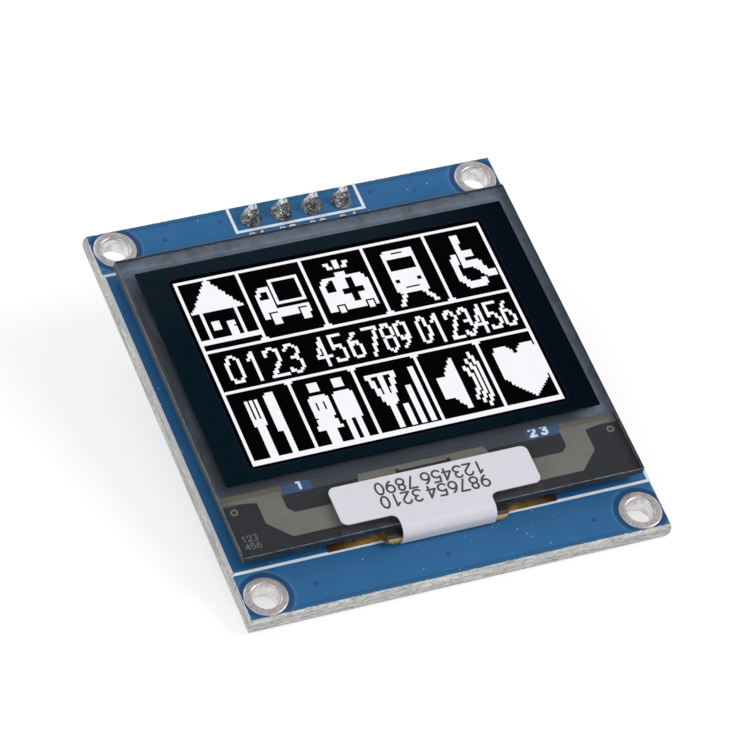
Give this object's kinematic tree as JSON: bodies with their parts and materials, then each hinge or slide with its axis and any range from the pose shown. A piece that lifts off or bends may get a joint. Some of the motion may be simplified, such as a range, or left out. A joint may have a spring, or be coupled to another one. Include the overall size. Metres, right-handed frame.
{
  "type": "oled display module",
  "caption": "Small OLED display module: a lit glass panel on a blue circuit board with corner mounting holes, a folded flex cable and a pin header under the back edge.",
  "frame": {"origin": "centre of the four mounting holes, on the board's back face", "axes": "+X along the pin row, +Y towards the pin header, +Z out of the display face"},
  "size_m": [0.0342, 0.037, 0.012],
  "materials": {
    "board": "glossy solder mask over glass-epoxy laminate",
    "tinned": "hot-tinned, slightly uneven",
    "spacer": "moulded, matte",
    "pin": "tin-plated",
    "solder": "bright, slightly frosted",
    "glass": "polished, cut edges",
    "seal": "cured resin",
    "pixels": "black thin films",
    "drying_sheet": "matte",
    "polariser": "dark teal film, glossy",
    "tracks": "thin metal film, satin",
    "tape": "black film, satin",
    "silicon": "polished silicon",
    "flex": "amber polyimide, glossy",
    "foam": "white foam tape",
    "label": "coated paper, satin",
    "moulded": "moulded epoxy, matte",
    "lead": "tinned",
    "ferrite": "pressed ferrite, matte",
    "capacitor": "fired ceramic with tinned ends",
    "resistor": "black glaze with tinned ends"
  },
  "bodies": {
    "root": {"circuit_board": "board", "hole_ring_front_left": "tinned", "hole_ring_front_right": "tinned", "hole_ring_back_left": "tinned", "hole_ring_back_right": "tinned", "header_spacer": "spacer", "header_pin_1": "pin", "header_pin_2": "pin", "header_pin_3": "pin", "header_pin_4": "pin", "pin_solder_1": "solder", "pin_solder_2": "solder", "pin_solder_3": "solder", "pin_solder_4": "solder", "flex_solder": "solder", "part_solder": "solder", "front_glass": "glass", "cap_glass": "glass", "glass_seal": "seal", "pixel_layers": "pixels", "drying_sheet": "drying_sheet", "polariser": "polariser", "ledge_tracks": "tracks", "ledge_tape": "tape", "driver_chip": "silicon", "flex_cable": "flex", "foam_strip_left": "foam", "foam_strip_right": "foam", "label": "label", "regulator_body": "moulded", "converter_body": "moulded", "diode_body": "moulded", "regulator_leads": "lead", "converter_leads": "lead", "coil_terminals": "lead", "diode_leads": "lead", "coil_core": "ferrite", "capacitor_1": "capacitor", "capacitor_2": "capacitor", "capacitor_3": "capacitor", "capacitor_4": "capacitor", "capacitor_5": "capacitor", "capacitor_6": "capacitor", "resistor_1": "resistor", "resistor_2": "resistor", "resistor_3": "resistor", "resistor_4": "resistor", "resistor_5": "resistor", "resistor_6": "resistor"}
  },
  "joints": []
}
